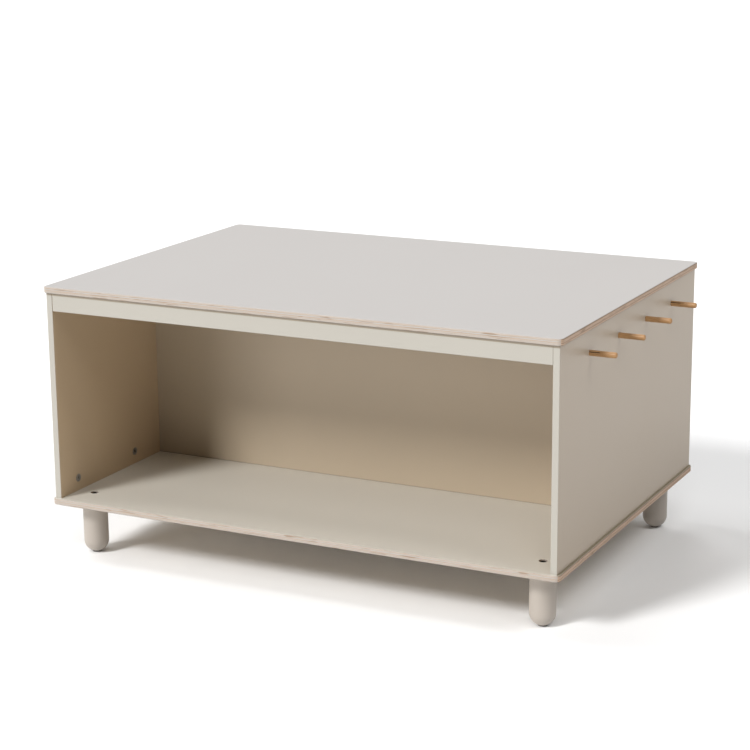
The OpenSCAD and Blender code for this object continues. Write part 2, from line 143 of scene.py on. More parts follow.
class WoodFinish(bpy.types.PropertyGroup):
    """Oiled pegs and beech dowels."""

    peg_light: colour("Peg Light", "Early wood of the pegs", (0.46, 0.265, 0.115))
    peg_dark: colour("Peg Dark", "Late wood of the pegs", (0.295, 0.147, 0.053))
    # Painted shade: near black in a peg's saw cut, where shade falls, and on the peg's flat end.
    kerf_shade: colour("Saw Cut", "Saw cut in a peg, and the peg's flat end", (0.05, 0.025, 0.01))
    kerf_edge: length("Saw Cut Edge", "Depth under a peg's round from which it is that dark", 0.5 * MM)
    dowel_light: colour("Dowel Light", "Light wood of the dowels", (0.62, 0.43, 0.26))
    dowel_dark: colour("Dowel Dark", "Dark wood of the dowels", (0.48, 0.31, 0.17))
    grain: length("Grain Width", "Width of a growth line", 0.9 * MM)
    flutes: IntProperty(name="Flutes", description="Grooves along a dowel", default=12, min=0, max=24)
    flute_depth: length("Flute Depth", "Depth of a dowel's grooves", 0.25 * MM)
    chamfer: length("Dowel Chamfer", "Chamfer on both ends of a dowel", 0.8 * MM)


class FittingFinish(bpy.types.PropertyGroup):
    """Metal and plastic fittings, whose overall sizes come from the frame."""

    zinc: colour("Zinc", "Cams, cam bolts and inserts", (0.32, 0.32, 0.32))
    steel: colour("Black Steel", "Leg bolts", (0.018, 0.017, 0.016))
    nylon: colour("Nylon", "Glides under the legs", (0.10, 0.085, 0.07))
    cam_bolt_thread: length("Cam Bolt Thread", "Diameter of a cam bolt's coarse thread", 5.0 * MM)
    cam_bolt_pitch: length("Cam Bolt Pitch", "Pitch of that thread", 1.8 * MM)
    cam_bolt_depth: length("Cam Bolt Thread Depth", "Depth of that thread", 0.7 * MM)
    cam_bolt_collar: length("Cam Bolt Collar", "Thickness of the collar that seats a cam bolt", 1.0 * MM)
    cam_bolt_shaft: length("Cam Bolt Shaft", "Diameter of a cam bolt's shaft", 6.0 * MM)
    cam_bolt_neck: length("Cam Bolt Neck", "Diameter of a cam bolt's neck", 3.4 * MM)
    cam_bolt_neck_l: length("Cam Bolt Neck Length", "Length of that neck up to the ball's middle", 7.5 * MM)
    cam_bolt_ball: length("Cam Bolt Ball", "Diameter of a cam bolt's round head", 5.4 * MM)
    leg_bolt_thread: length("Leg Bolt Thread", "Diameter of a leg bolt's thread", 8.0 * MM)
    leg_bolt_pitch: length("Leg Bolt Pitch", "Pitch of that thread", 1.25 * MM)
    leg_bolt_depth: length("Leg Bolt Thread Depth", "Depth of that thread", 0.68 * MM)
    leg_bolt_plain: length("Leg Bolt Plain Length", "Length of the plain shank under the head", 2.0 * MM)
    leg_bolt_head: length("Leg Bolt Head", "Height of a leg bolt's button head", 4.4 * MM)
    leg_bolt_crown: length("Leg Bolt Crown", "Diameter of the flat on top of that head", 8.0 * MM)
    leg_bolt_socket: length("Leg Bolt Socket", "Width of the hexagon socket across its flats", 5.0 * MM)
    leg_bolt_socket_depth: length("Leg Bolt Socket Depth", "Depth of that socket", 2.6 * MM)
    insert_pitch: length("Insert Pitch", "Pitch of the coarse thread round an insert", 3.0 * MM)
    insert_depth: length("Insert Thread Depth", "Depth of that thread", 0.8 * MM)
    mark_size: length("Arrow Mark", "Size of the arrow on a cam, which points at its bolt", 1.5 * MM)
    mark_height: length("Mark Height", "How far a cam's arrow and rim are raised", 0.25 * MM)
    rim_width: length("Cam Rim", "Width of the raised rim round a cam", 0.7 * MM)


class StudioSettings(bpy.types.PropertyGroup):
    """Camera, lights and floor."""

    camera_x: length("Camera X", "Camera's distance to the right of the object's middle", 1.62646)
    camera_y: length("Camera Y", "Camera's distance in front of the object's middle", 3.30713)
    camera_z: length("Camera Height", "Camera's height above the floor", 1.26125)
    azimuth: angle("Azimuth", "How far the camera looks from the right", 26.589)
    pitch: angle("Pitch", "How far the camera looks down", 14.292)
    roll: angle("Roll", "How far the camera leans to the right", 0.489)
    lens: number("Focal Length", "Focal length in millimetres on a 36 mm sensor", 98.315)
    floor_size: length("Floor Size", "Width and depth of the studio floor", 60.0)
    floor: colour("Floor", "Studio floor", (0.90, 0.90, 0.90))
    room_light: number("Room Light", "Light from the room all round", 0.02)
    reflection: number("Reflected Room", "How bright the room looks in a gloss, on top of its light", 0.30)
    light: number("Light", "Strength of all the lamps together", 1.0)


# ---- Node helpers ------------------------------------------------------------------------------


def feed(tree, socket, value):
    """Links a socket to the one that feeds it, or gives it a value of its own."""
    if isinstance(value, bpy.types.NodeSocket):
        tree.links.new(value, socket)
    else:
        socket.default_value = value


def add_node(tree, kind, inputs=None, **settings):
    """A node with its settings. Each input is given as a value, or as a socket that feeds it."""
    node = tree.nodes.new(kind)
    for name, value in settings.items():
        setattr(node, name, value)
    for key, value in (inputs or {}).items():
        feed(tree, node.inputs[key], value)
    return node


def geometry(tree, kind, inputs=None, **settings):
    """First output of a new geometry node."""
    return add_node(tree, "GeometryNode" + kind, inputs, **settings).outputs[0]


def maths(tree, operation, *values, clamp=False):
    """Result of a Math node on one to three values or sockets."""
    inputs = dict(enumerate(values))
    return add_node(tree, "ShaderNodeMath", inputs, operation=operation, use_clamp=clamp).outputs[0]


def vectors(tree, operation, *values):
    """Result of a Vector Math node on two vectors."""
    inputs = dict(enumerate(values))
    return add_node(tree, "ShaderNodeVectorMath", inputs, operation=operation).outputs[0]


def scaled(tree, vector, factor):
    """A vector or colour times a number."""
    inputs = {0: vector, "Scale": factor}
    return add_node(tree, "ShaderNodeVectorMath", inputs, operation="SCALE").outputs[0]


def reach_of(tree, vector):
    """Length of a vector."""
    return add_node(tree, "ShaderNodeVectorMath", {0: vector}, operation="LENGTH").outputs["Value"]


def vector_of(tree, **axes):
    """A vector with the given X, Y and Z, and nothing on the other axes."""
    return add_node(tree, "ShaderNodeCombineXYZ", axes).outputs[0]


def axes_of(tree, vector):
    """X, Y and Z of a vector."""
    return add_node(tree, "ShaderNodeSeparateXYZ", {0: vector}).outputs


def noise(tree, vector, scale=1.0, **inputs):
    """Smooth noise from 0 to 1. Its other inputs go by the names of their sockets."""
    inputs = {"Vector": vector, "Scale": scale, **inputs}
    return add_node(tree, "ShaderNodeTexNoise", inputs).outputs["Fac"]


def ramp(tree, value, low, high):
    """0 up to a low value, 1 from a high one on, and even between them."""
    inputs = {"Value": value, "From Min": low, "From Max": high}
    return add_node(tree, "ShaderNodeMapRange", inputs).outputs[0]


def mix(tree, factor, first, second, kind="Color"):
    """A colour or a number between two, by a factor from 0 to 1.
    The Mix node's sockets share names between its data types, so they are found by identifier."""
    node = add_node(tree, "ShaderNodeMix", data_type="RGBA" if kind == "Color" else "FLOAT")
    sockets = {socket.identifier: socket for socket in (*node.inputs, *node.outputs)}
    for name, value in (("Factor_Float", factor), ("A_" + kind, first), ("B_" + kind, second)):
        feed(tree, sockets[name], value)
    return sockets["Result_" + kind]


GROUP_OUTPUTS = {
    "ShaderNodeTree": [("Colour", "Color"), ("Roughness", "Float"), ("Normal", "Vector")],
    "GeometryNodeTree": [("Geometry", "Geometry")],
}


def new_group(kind, name, *inputs):
    """A node group, the sockets that it is given by name, and those that it puts out."""
    group = bpy.data.node_groups.new(name, kind)
    for way, sockets in (("INPUT", inputs), ("OUTPUT", GROUP_OUTPUTS[kind])):
        for socket_name, socket_kind, *default in sockets:
            socket_type = "NodeSocket" + socket_kind
            item = group.interface.new_socket(socket_name, in_out=way, socket_type=socket_type)
            if default:
                item.default_value = default[0]
    return group, group.nodes.new("NodeGroupInput").outputs, group.nodes.new("NodeGroupOutput").inputs


def end_shader_group(tree, result, colour, roughness, height, relief):
    """Puts out a shader group's colour and roughness, and the normal of a relief of that depth."""
    bump = add_node(tree, "ShaderNodeBump", {"Strength": 1.0, "Distance": relief, "Height": height})
    tree.links.new(colour, result["Colour"])
    tree.links.new(roughness, result["Roughness"])
    tree.links.new(bump.outputs[0], result["Normal"])


# ---- Shader groups -----------------------------------------------------------------------------


def build_film_group():
    """Skin of a sprayed or pressed surface: a fine relief, and a broad drift in tone and gloss."""
    tree, given, result = new_group(
        "ShaderNodeTree",
        "Surface film",
        ("Vector", "Vector"),
        ("Colour", "Color"),
        ("Relief Size", "Float", 1 * MM),
        ("Relief", "Float", 0.01 * MM),
        ("Tone Drift", "Float", 0.02),
        ("Roughness", "Float", 0.5),
    )
    patches_per_metre = 4.5
    patch_weight, speck_weight, gloss_weight = 2.0, 0.6, 3.0
    least_roughness = 0.05
    specks_per_metre = maths(tree, "DIVIDE", 1.0, given["Relief Size"])
    fine = noise(tree, given["Vector"], specks_per_metre, Detail=2.0, Roughness=0.45)
    broad = noise(tree, given["Vector"], patches_per_metre, Detail=3.0, Roughness=0.55)
    drift = maths(tree, "MULTIPLY", maths(tree, "SUBTRACT", broad, 0.5), given["Tone Drift"])
    speck = maths(tree, "MULTIPLY", maths(tree, "SUBTRACT", fine, 0.5), given["Tone Drift"])
    change = maths(tree, "MULTIPLY_ADD", drift, patch_weight, maths(tree, "MULTIPLY", speck, speck_weight))
    tone = scaled(tree, given["Colour"], maths(tree, "ADD", 1.0, change))
    gloss = maths(tree, "MULTIPLY_ADD", drift, gloss_weight, given["Roughness"])
    roughness = maths(tree, "MAXIMUM", gloss, least_roughness)
    end_shader_group(tree, result, tone, roughness, fine, given["Relief"])


def build_grain_group():
    """Long wood grain that runs along X of its vector: growth lines and fine pores."""
    tree, given, result = new_group(
        "ShaderNodeTree",
        "Wood grain",
        ("Vector", "Vector"),
        ("Light", "Color"),
        ("Dark", "Color"),
        ("Grain Width", "Float", 1 * MM),
        ("Pore Depth", "Float", PORE_DEPTH),
    )
    width_to_length = 0.02
    pores_per_line = (4.0, 5.0, 5.0)
    pore_darkness, depth_weight = 0.45, 0.5
    least_roughness, dark_roughness = 0.42, 0.15
    across = maths(tree, "DIVIDE", 1.0, given["Grain Width"])
    density = vector_of(tree, X=maths(tree, "MULTIPLY", across, width_to_length), Y=across, Z=across)
    place = vectors(tree, "MULTIPLY", given["Vector"], density)
    lines = noise(tree, place, Detail=4.0, Roughness=0.6, Distortion=0.3)
    lines = ramp(tree, lines, low=0.35, high=0.68)
    pores = noise(tree, vectors(tree, "MULTIPLY", place, pores_per_line), Detail=2.0)
    pores = ramp(tree, pores, low=0.60, high=0.72)
    dark = maths(tree, "ADD", maths(tree, "MULTIPLY", pores, pore_darkness), lines, clamp=True)
    wood = mix(tree, dark, given["Light"], given["Dark"])
    roughness = maths(tree, "MULTIPLY_ADD", dark, dark_roughness, least_roughness)
    height = maths(tree, "MULTIPLY", maths(tree, "ADD", lines, pores), -depth_weight)
    end_shader_group(tree, result, wood, roughness, height, given["Pore Depth"])


def build_ply_group():
    """Sawn edge of a plywood core: veneers one on another, every other one with its end grain out."""
    tree, given, result = new_group(
        "ShaderNodeTree",
        "Plywood edge",
        ("Vector", "Vector"),
        ("Face Normal", "Vector"),
        ("Underside", "Float", 0.0),
        ("Veneer", "Float", 1.5 * MM),
        ("Glue Width", "Float", 0.1),
        ("Mark", "Vector"),
        ("Mark Size", "Vector", (0.01, 0.01, 0.001)),
        ("Light", "Color"),
        ("End Light", "Color"),
        ("Dark", "Color"),
        ("Glue", "Color"),
    )
    place = given["Vector"]
    # Veneers wander a little in thickness along the edge.
    waves_per_metre, waver_share = 14.0, 0.35
    waver = maths(tree, "SUBTRACT", noise(tree, place, waves_per_metre, Detail=1.0), 0.5)
    level = maths(tree, "SUBTRACT", axes_of(tree, place)["Z"], given["Underside"])
    level = maths(tree, "DIVIDE", level, given["Veneer"])
    level = maths(tree, "ADD", level, maths(tree, "MULTIPLY", waver, waver_share))
    count = maths(tree, "FLOOR", level)
    within = maths(tree, "FRACT", level)
    # Every other veneer has its end grain out. In the end faces, which look along X, the others have.
    end_face_from = 0.7
    sideways = maths(tree, "ABSOLUTE", axes_of(tree, given["Face Normal"])["X"])
    end_face = maths(tree, "GREATER_THAN", sideways, end_face_from)
    end_out = maths(tree, "MODULO", maths(tree, "ADD", maths(tree, "ABSOLUTE", count), end_face), 2.0)
    # Long grain runs along the edge, end grain is a fine speckle.
    fibres_per_metre, specks_per_metre = (22.0, 22.0, 1500.0), 1900.0
    fibres = vectors(tree, "MULTIPLY", place, fibres_per_metre)
    long_grain = noise(tree, fibres, Detail=5.0, Roughness=0.65)
    end_grain = noise(tree, place, specks_per_metre, Detail=2.0, Roughness=0.7)
    grain = mix(tree, end_out, long_grain, end_grain, "Float")
    # Each veneer has a shade of its own, and end grain and end faces are darker.
    shade_weight, end_grain_weight, end_face_weight = 0.35, 0.30, 0.32
    grain_weight, grain_middle = 1.1, 0.42
    shade = add_node(tree, "ShaderNodeTexWhiteNoise", {"W": count}, noise_dimensions="1D").outputs["Value"]
    shade = maths(tree, "MULTIPLY", shade, shade_weight)
    tone = maths(tree, "MULTIPLY_ADD", end_out, end_grain_weight, shade)
    tone = maths(tree, "MULTIPLY_ADD", end_face, end_face_weight, tone)
    swing = maths(tree, "MULTIPLY", maths(tree, "SUBTRACT", grain, grain_middle), grain_weight)
    tone = maths(tree, "ADD", tone, swing, clamp=True)
    light = mix(tree, end_face, given["Light"], given["End Light"])
    wood = mix(tree, tone, light, given["Dark"])
    # Glue line at each joint between two veneers, broken up along its length.
    from_joint = maths(tree, "MINIMUM", within, maths(tree, "SUBTRACT", 1.0, within))
    line = maths(tree, "LESS_THAN", from_joint, maths(tree, "MULTIPLY", given["Glue Width"], 0.5))
    broken = ramp(tree, long_grain, low=0.30, high=0.62)
    # Short dark streaks where a veneer was patched or bruised.
    streaks_per_metre, streak_weight = (26.0, 26.0, 420.0), 0.7
    streak = noise(tree, vectors(tree, "MULTIPLY", place, streaks_per_metre), Detail=1.0)
    streak = ramp(tree, streak, low=0.62, high=0.68)
    # In an end face every fourth veneer looks darker, from the third on.
    band_weight = 0.75
    fourth = maths(tree, "COMPARE", maths(tree, "MODULO", count, 4.0), 2.0, 0.5)
    band = maths(tree, "MULTIPLY", maths(tree, "MULTIPLY", fourth, end_face), band_weight)
    # The oval mark is full up to half its size, and fades out from there to its rim.
    mark_weight = 0.8
    from_mark = vectors(tree, "SUBTRACT", place, given["Mark"])
    from_mark = reach_of(tree, vectors(tree, "DIVIDE", from_mark, given["Mark Size"]))
    mark = maths(tree, "MULTIPLY_ADD", from_mark, -2.0, 2.0, clamp=True)
    dark = maths(tree, "MULTIPLY_ADD", streak, streak_weight, band)
    dark = maths(tree, "MULTIPLY_ADD", mark, mark_weight, dark)
    dark = maths(tree, "MULTIPLY_ADD", line, broken, dark, clamp=True)
    shown = mix(tree, dark, wood, given["Glue"])
    # The grain stands up a little, and the glue lines lie deeper.
    least_roughness, grain_roughness = 0.50, 0.25
    grain_height, glue_depth = 0.6, 0.5
    roughness = maths(tree, "MULTIPLY_ADD", grain, grain_roughness, least_roughness)
    height = maths(tree, "MULTIPLY", grain, grain_height)
    height = maths(tree, "SUBTRACT", height, maths(tree, "MULTIPLY", line, glue_depth))
    end_shader_group(tree, result, shown, roughness, height, PORE_DEPTH)


# ---- Materials ---------------------------------------------------------------------------------

# How a film lies on a surface: size and depth of its relief, drift of its tone, and roughness.
Film = namedtuple("Film", "size relief drift roughness")
MOULDED_NYLON = Film(size=0.4 * MM, relief=0.010 * MM, drift=0.05, roughness=0.50)
CAST_ZINC = Film(size=0.5 * MM, relief=0.010 * MM, drift=0.10, roughness=0.38)
BLACKENED_STEEL = Film(size=0.4 * MM, relief=0.008 * MM, drift=0.10, roughness=0.40)

# Inputs of the shader groups that take a coordinate of the piece.
COORDINATES = {"Vector": "Object", "Face Normal": "Normal"}

# Dark mark in the front edge of each board: from the right end, over the core's middle, half-length.
MARKS = {"top_plate": (127 * MM, 3.4 * MM, 16 * MM), "floor_plate": (62 * MM, 2.5 * MM, 12 * MM)}
MARK_DEPTH, MARK_HALF_HEIGHT = 4 * MM, 1.8 * MM


def opaque(rgb):
    """A colour with full alpha, as colour sockets take it."""
    return (*rgb, 1.0)


def new_material(name, shader_inputs):
    """A material with a Principled shader, and the tree that its other nodes go in."""
    material = bpy.data.materials.new(name)
    material.use_nodes = True
    tree = material.node_tree
    tree.nodes.clear()
    shader = add_node(tree, "ShaderNodeBsdfPrincipled", shader_inputs)
    add_node(tree, "ShaderNodeOutputMaterial", {"Surface": shader.outputs[0]})
    return material, tree, shader


def group_material(name, group_name, inputs, **shader_inputs):
    """A material whose shader takes its colour, roughness and normal from a shader group."""
    material, tree, shader = new_material(name, shader_inputs)
    group = add_node(tree, "ShaderNodeGroup", inputs, node_tree=bpy.data.node_groups[group_name])
    place = add_node(tree, "ShaderNodeTexCoord").outputs
    for socket in group.inputs:
        if socket.name in COORDINATES:
            tree.links.new(place[COORDINATES[socket.name]], socket)
    for output, target in (("Colour", "Base Color"), ("Roughness", "Roughness"), ("Normal", "Normal")):
        tree.links.new(group.outputs[output], shader.inputs[target])
    return material


def film_material(name, rgb, film, **shader_inputs):
    """Paint, laminate, plastic or metal with a fine relief and a slight drift in tone."""
    inputs = {
        "Colour": opaque(rgb),
        "Relief Size": film.size,
        "Relief": film.relief,
        "Tone Drift": film.drift,
        "Roughness": film.roughness,
    }
    return group_material(name, "Surface film", inputs, **shader_inputs)


def paint_material(name, rgb, finish):
    """Sprayed paint in one tone."""
    film = Film(finish.peel_size, finish.peel_relief, finish.drift, finish.roughness)
    return film_material(name, rgb, film)


def wood_material(name, light, dark, grain):
    """Turned wood whose grain runs along X."""
    inputs = {"Light": opaque(light), "Dark": opaque(dark), "Grain Width": grain}
    return group_material(name, "Wood grain", inputs)


def ply_material(name, node, finish):
    """Plywood core of one board, with its plies counted from the core's underside."""
    low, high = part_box(node)
    from_end, rise, half_length = MARKS[node]
    inputs = {
        "Underside": low.z,
        "Veneer": (high.z - low.z) / finish.ply_count,
        "Glue Width": finish.glue_width,
        "Mark": (high.x - from_end, low.y, (low.z + high.z) / 2 + rise),
        "Mark Size": (half_length, MARK_DEPTH, MARK_HALF_HEIGHT),
        "Light": opaque(finish.ply_light),
        "End Light": opaque(finish.ply_end),
        "Dark": opaque(finish.ply_dark),
        "Glue": opaque(finish.glue),
    }
    return group_material(name, "Plywood edge", inputs)


def node_of(material, kind):
    """The one node of a kind in a material."""
    return next(node for node in material.node_tree.nodes if node.type == kind)


def lay_tones(material, *tones):
    """Lays further tones over a film's colour. Each tone is a colour and a function that gives its mask."""
    tree = material.node_tree
    film = node_of(material, "GROUP")
    place = node_of(material, "TEX_COORD").outputs
    shown = tuple(film.inputs["Colour"].default_value)
    for rgb, mask in tones:
        shown = mix(tree, mask(tree, place), shown, opaque(rgb))
    tree.links.new(shown, film.inputs["Colour"])


def lay_over(material, rgb, mask):
    """Lays one tone over all that a material shows, where the mask says."""
    tree = material.node_tree
    target = node_of(material, "BSDF_PRINCIPLED").inputs["Base Color"]
    below = target.links[0].from_socket
    place = node_of(material, "TEX_COORD").outputs
    tree.links.new(mix(tree, mask(tree, place), below, opaque(rgb)), target)


def between(axis, first, last, slack=0.1 * MM):
    """Mask of what lies between two places along an axis, both included."""
    middle, reach = (first + last) / 2, (last - first) / 2 + slack
    return lambda tree, place: maths(tree, "COMPARE", axes_of(tree, place["Object"])[axis], middle, reach)


def facing(axis, least):
    """Mask of the faces that look along an axis, either way."""

    def mask(tree, place):
        along = maths(tree, "ABSOLUTE", axes_of(tree, place["Normal"])[axis])
        return maths(tree, "GREATER_THAN", along, least)

    return mask


def facing_away(axis, most):
    """Mask of the faces that look across an axis."""
    return lambda tree, place: maths(tree, "SUBTRACT", 1.0, facing(axis, most)(tree, place))


def both(first, second):
    """Mask of what two masks share."""
    return lambda tree, place: maths(tree, "MULTIPLY", first(tree, place), second(tree, place))


def inside_pegs(pegs, edge):
    """Mask of what lies deeper than the edge under the round of a peg, in its half at the panel.
    That is the saw cut, whose near-black colour is painted shade, and also the flat end, which shows in the
    panel's inner face and gets the same colour."""

    def mask(tree, place):
        within = 0.0
        for node in pegs:
            low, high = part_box(node)
            middle, radius = (low + high) / 2, (high.z - low.z) / 2
            from_middle = vectors(tree, "SUBTRACT", place["Object"], middle)
            from_axis = reach_of(tree, vectors(tree, "MULTIPLY", from_middle, (0.0, 1.0, 1.0)))
            within = maths(tree, "ADD", within, maths(tree, "LESS_THAN", from_axis, radius - edge))
        near_root = maths(tree, "LESS_THAN", axes_of(tree, place["Object"])["X"], middle.x)
        return maths(tree, "MULTIPLY", within, near_root)

    return mask


def dress(nodes, material):
    """Gives modelled pieces their material."""
    for node in nodes:
        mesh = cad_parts[node].data
        mesh.materials.clear()
        mesh.materials.append(material)


# ---- Geometry node groups ------------------------------------------------------------------------


def join(tree, socket, *parts):
    """Links several geometries to a socket that takes many."""
    for part in parts:
        tree.links.new(part, socket)


def seat_on_points(tree, given, result, fitting):
    """Ends a group: sets the fitting on each point, turned as the point says, as real faces."""
    turn = geometry(tree, "InputNamedAttribute", {"Name": "turn"}, data_type="FLOAT_VECTOR")
    rotation = add_node(tree, "FunctionNodeEulerToRotation", {"Euler": turn}).outputs[0]
    inputs = {"Points": given["Geometry"], "Instance": fitting, "Rotation": rotation}
    plain = geometry(tree, "RealizeInstances", {"Geometry": geometry(tree, "InstanceOnPoints", inputs)})
    finished = geometry(tree, "SetMaterial", {"Geometry": plain, "Material": given["Material"]})
    tree.links.new(finished, result["Geometry"])


def build_thread_group():
    """Turned body with a thread wound round it, seated at each joint."""
    tree, given, result = new_group(
        "GeometryNodeTree",
        "Threaded fitting",
        ("Geometry", "Geometry"),
        ("Body", "Object"),
        ("Core Radius", "Float", 2 * MM),
        ("Depth", "Float", 0.5 * MM),
        ("Pitch", "Float", 1 * MM),
        ("Start", "Float", 0.0),
        ("Length", "Float", 10 * MM),
        ("Points in a Turn", "Int", 20),
        ("Material", "Material"),
    )
    turns = maths(tree, "DIVIDE", given["Length"], given["Pitch"])
    inputs = {
        "Resolution": given["Points in a Turn"],
        "Rotations": turns,
        "Start Radius": given["Core Radius"],
        "End Radius": given["Core Radius"],
        "Height": given["Length"],
    }
    helix = geometry(tree, "SetCurveNormal", {"Curve": geometry(tree, "CurveSpiral", inputs)}, mode="Z_UP")
    # The thread's four-sided ridge runs out over its first and last turn.
    sides, least_height = 4, 0.1
    along = geometry(tree, "SplineParameter")
    from_end = maths(tree, "MINIMUM", along, maths(tree, "SUBTRACT", 1.0, along))
    height = maths(tree, "MINIMUM", maths(tree, "MULTIPLY_ADD", from_end, turns, least_height), 1.0)
    section = geometry(tree, "CurvePrimitiveCircle", {"Resolution": sides, "Radius": given["Depth"]})
    inputs = {"Curve": helix, "Profile Curve": section, "Scale": height, "Fill Caps": True}
    ridge = geometry(tree, "CurveToMesh", inputs)
    start = vector_of(tree, Z=given["Start"])
    ridge = geometry(tree, "Transform", {"Geometry": ridge, "Translation": start})
    body = add_node(tree, "GeometryNodeObjectInfo", {"Object": given["Body"]}).outputs["Geometry"]
    whole = add_node(tree, "GeometryNodeMeshBoolean", operation="UNION", solver="MANIFOLD")
    join(tree, whole.inputs["Mesh 2"], body, ridge)
    seat_on_points(tree, given, result, whole.outputs[0])


def build_dowel_group():
    """Dowel with grooves along it and a chamfer on both ends, seated at each joint."""
    tree, given, result = new_group(
        "GeometryNodeTree",
        "Fluted dowel",
        ("Geometry", "Geometry"),
        ("Start", "Float", 0.0),
        ("Length", "Float", 28 * MM),
        ("Radius", "Float", 3 * MM),
        ("Chamfer", "Float", 0.8 * MM),
        ("Flutes", "Int", 12),
        ("Flute Depth", "Float", 0.25 * MM),
        ("Material", "Material"),
    )
    # Every fourth point of the circle lies at the bottom of a groove.
    points_per_flute = 4.0
    points = maths(tree, "MULTIPLY", given["Flutes"], points_per_flute)
    circle = geometry(tree, "CurvePrimitiveCircle", {"Resolution": points, "Radius": 1.0})
    index = geometry(tree, "InputIndex")
    in_groove = maths(tree, "LESS_THAN", maths(tree, "MODULO", index, points_per_flute), 0.5)
    depth = maths(tree, "DIVIDE", given["Flute Depth"], given["Radius"])
    reach = maths(tree, "SUBTRACT", 1.0, maths(tree, "MULTIPLY", in_groove, depth))
    drawn_in = scaled(tree, geometry(tree, "InputPosition"), reach)
    section = geometry(tree, "SetPosition", {"Geometry": circle, "Position": drawn_in})
    # Four stations along the axis: end, chamfer, chamfer, end.
    line = geometry(tree, "MeshLine", {"Count": 4, "Offset": (0.0, 0.0, 1.0)})
    far = maths(tree, "GREATER_THAN", index, 1.5)
    inner = maths(tree, "COMPARE", index, 1.5, 0.6)
    from_end = maths(tree, "MULTIPLY", inner, given["Chamfer"])
    from_far_end = maths(tree, "SUBTRACT", given["Length"], from_end)
    across = maths(tree, "SUBTRACT", from_far_end, from_end)
    height = maths(tree, "MULTIPLY_ADD", far, across, maths(tree, "ADD", from_end, given["Start"]))
    stations = geometry(tree, "SetPosition", {"Geometry": line, "Position": vector_of(tree, Z=height)})
    axis = geometry(tree, "MeshToCurve", {"Mesh": stations})
    end_radius = maths(tree, "SUBTRACT", given["Radius"], given["Chamfer"])
    radius = maths(tree, "MULTIPLY_ADD", inner, given["Chamfer"], end_radius)
    inputs = {"Curve": axis, "Profile Curve": section, "Scale": radius, "Fill Caps": True}
    seat_on_points(tree, given, result, geometry(tree, "CurveToMesh", inputs))


def build_mark_group():
    """Raised rim round a cam's face and an arrow that points at its bolt, seated on each cam."""
    tree, given, result = new_group(
        "GeometryNodeTree",
        "Cam marks",
        ("Geometry", "Geometry"),
        ("Cam Radius", "Float", 7.5 * MM),
        ("Rim Width", "Float", 0.7 * MM),
        ("Arrow", "Float", 1.5 * MM),
        ("Height", "Float", 0.25 * MM),
        ("Material", "Material"),
    )
    rim_points = 48
    half_rim = maths(tree, "MULTIPLY", given["Rim Width"], 0.5)
    rim_middle = maths(tree, "SUBTRACT", given["Cam Radius"], half_rim)
    # Rim and arrow are half sunk in the face.
    thickness = maths(tree, "MULTIPLY", given["Height"], 2.0)
    ring = geometry(tree, "CurvePrimitiveCircle", {"Resolution": rim_points, "Radius": rim_middle})
    inputs = {"Width": given["Rim Width"], "Height": thickness}
    section = geometry(tree, "CurvePrimitiveQuadrilateral", inputs)
    rim = geometry(tree, "CurveToMesh", {"Curve": ring, "Profile Curve": section})
    inputs = {"Vertices": 3, "Radius": given["Arrow"], "Depth": thickness}
    arrow = geometry(tree, "MeshCylinder", inputs)
    # The arrow's point starts along X. It turns to the bolt's side and stops short of the rim.
    arrow_room = 1.3
    reach = maths(tree, "MULTIPLY_ADD", given["Arrow"], -arrow_room, rim_middle)
    place = vector_of(tree, Y=maths(tree, "MULTIPLY", reach, -1.0))
    inputs = {"Geometry": arrow, "Translation": place, "Rotation": (0.0, 0.0, math.radians(-90))}
    arrow = geometry(tree, "Transform", inputs)
    # A cam's face looks along +Y of its joint, and its bolt comes from -Z.
    marks = add_node(tree, "GeometryNodeJoinGeometry")
    join(tree, marks.inputs[0], arrow, rim)
    inputs = {"Geometry": marks.outputs[0], "Rotation": (math.radians(90), 0.0, 0.0)}
    seat_on_points(tree, given, result, geometry(tree, "Transform", inputs))


# ---- Fittings --------------------------------------------------------------------------------------


def solids(node):
    """Lowest and highest corner of each separate solid in a modelled piece, in a fixed order."""
    mesh = bmesh.new()
    mesh.from_mesh(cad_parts[node].data)
    bmesh.ops.remove_doubles(mesh, verts=mesh.verts, dist=MERGE_UNDER)
    boxes = []
    unseen = set(mesh.verts)
    while unseen:
        found = [unseen.pop()]
        for vert in found:
            for edge in vert.link_edges:
                other = edge.other_vert(vert)
                if other in unseen:
                    unseen.remove(other)
                    found.append(other)
        boxes.append([Vector([pick(v.co[i] for v in found) for i in range(3)]) for pick in (min, max)])
    mesh.free()
    return sorted(boxes, key=lambda box: [round(x, PLACE_DIGITS) for x in box[0]])


def frame_of(place, out, into):
    """Frame at a place, whose +Y points out of a panel's face and +Z runs into its edge."""
    turn = Matrix((out.cross(into), out, into)).transposed().to_4x4()
    return Matrix.Translation(place) @ turn


def frame_at_foot(box, rise):
    """Upright frame in the middle of a box, so far above its lowest point."""
    low, high = box
    place = Vector(((low.x + high.x) / 2, (low.y + high.y) / 2, low.z + rise))
    return frame_of(place, Vector((0, 1, 0)), Vector((0, 0, 1)))


def joint_frames(node):
    """Frames of a node's bolts or dowels, each with its origin on the face that the edge meets."""
    floor_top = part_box("floor_laminate")[1].z
    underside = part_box("top_backing_laminate")[0].z
    left_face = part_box("left_side_panel")[1].x
    right_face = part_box("right_side_panel")[0].x
    frames = []
    for low, high in solids(node):
        middle = (low + high) / 2
        if high.z - low.z > high.x - low.x:
            at_top = middle.z > (floor_top + underside) / 2
            place = Vector((middle.x, middle.y, underside if at_top else floor_top))
            into = Vector((0, 0, -1 if at_top else 1))
        else:
            at_right = middle.x > (left_face + right_face) / 2
            place = Vector((right_face if at_right else left_face, middle.y, middle.z))
            into = Vector((-1 if at_right else 1, 0, 0))
        frames.append(frame_of(place, Vector((0, 1, 0)), into))
    return frames


